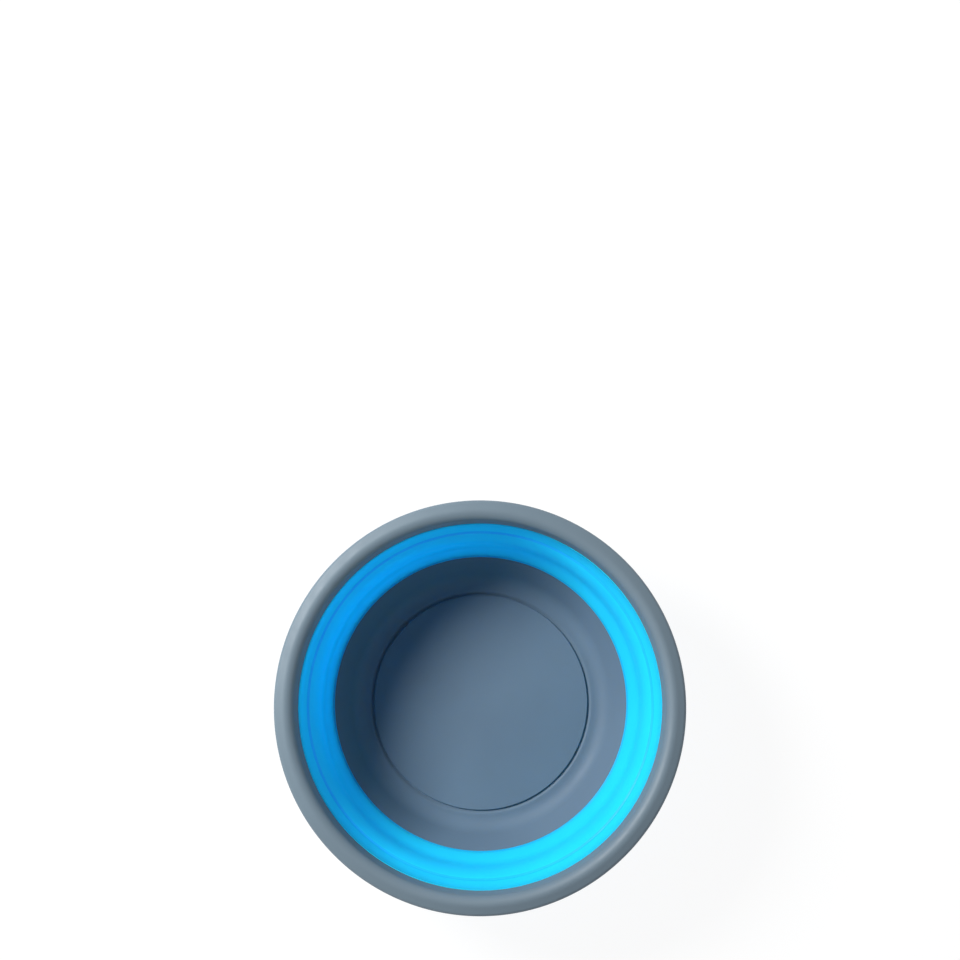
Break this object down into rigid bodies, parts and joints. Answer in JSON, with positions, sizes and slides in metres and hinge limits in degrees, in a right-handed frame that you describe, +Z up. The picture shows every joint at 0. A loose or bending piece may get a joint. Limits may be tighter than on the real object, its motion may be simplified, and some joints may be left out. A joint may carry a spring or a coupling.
{
  "type": "collapsible washing up bowl",
  "caption": "Round collapsible washing up bowl: a stiff rolled rim and a stiff base joined by a soft band whose panel turns inside out, so the bowl folds flat.",
  "frame": {"origin": "centre of the foot ring's lower face, at the bottom of the bowl", "axes": "+Z up along the bowl's axis; +X and +Y level, the bowl is round about +Z"},
  "size_m": [0.37, 0.37, 0.133],
  "materials": {
    "grey_plastic": "satin blue-grey polypropylene with a very fine moulded grain",
    "blue_elastomer": "smooth semi-gloss bright blue thermoplastic elastomer"
  },
  "bodies": {
    "base": {"base_pan": "grey_plastic", "band_collar": "blue_elastomer"},
    "rim": {"rim_ring": "grey_plastic", "band_lip": "blue_elastomer"},
    "panel": {"fold_panel": "blue_elastomer"}
  },
  "joints": [
    {"name": "rim_fold", "type": "slide", "parent": "base", "child": "rim", "axis": [0, 0, 1], "range_m": [-0.082, 0], "deforming": ["fold_panel"]},
    {"name": "panel_fold", "type": "slide", "parent": "base", "child": "panel", "axis": [0, 0, 1], "range_m": [-0.041, 0]}
  ],
  "couplings": [
    {"joint": "panel_fold", "follows": "rim_fold", "ratio": 0.5}
  ]
}
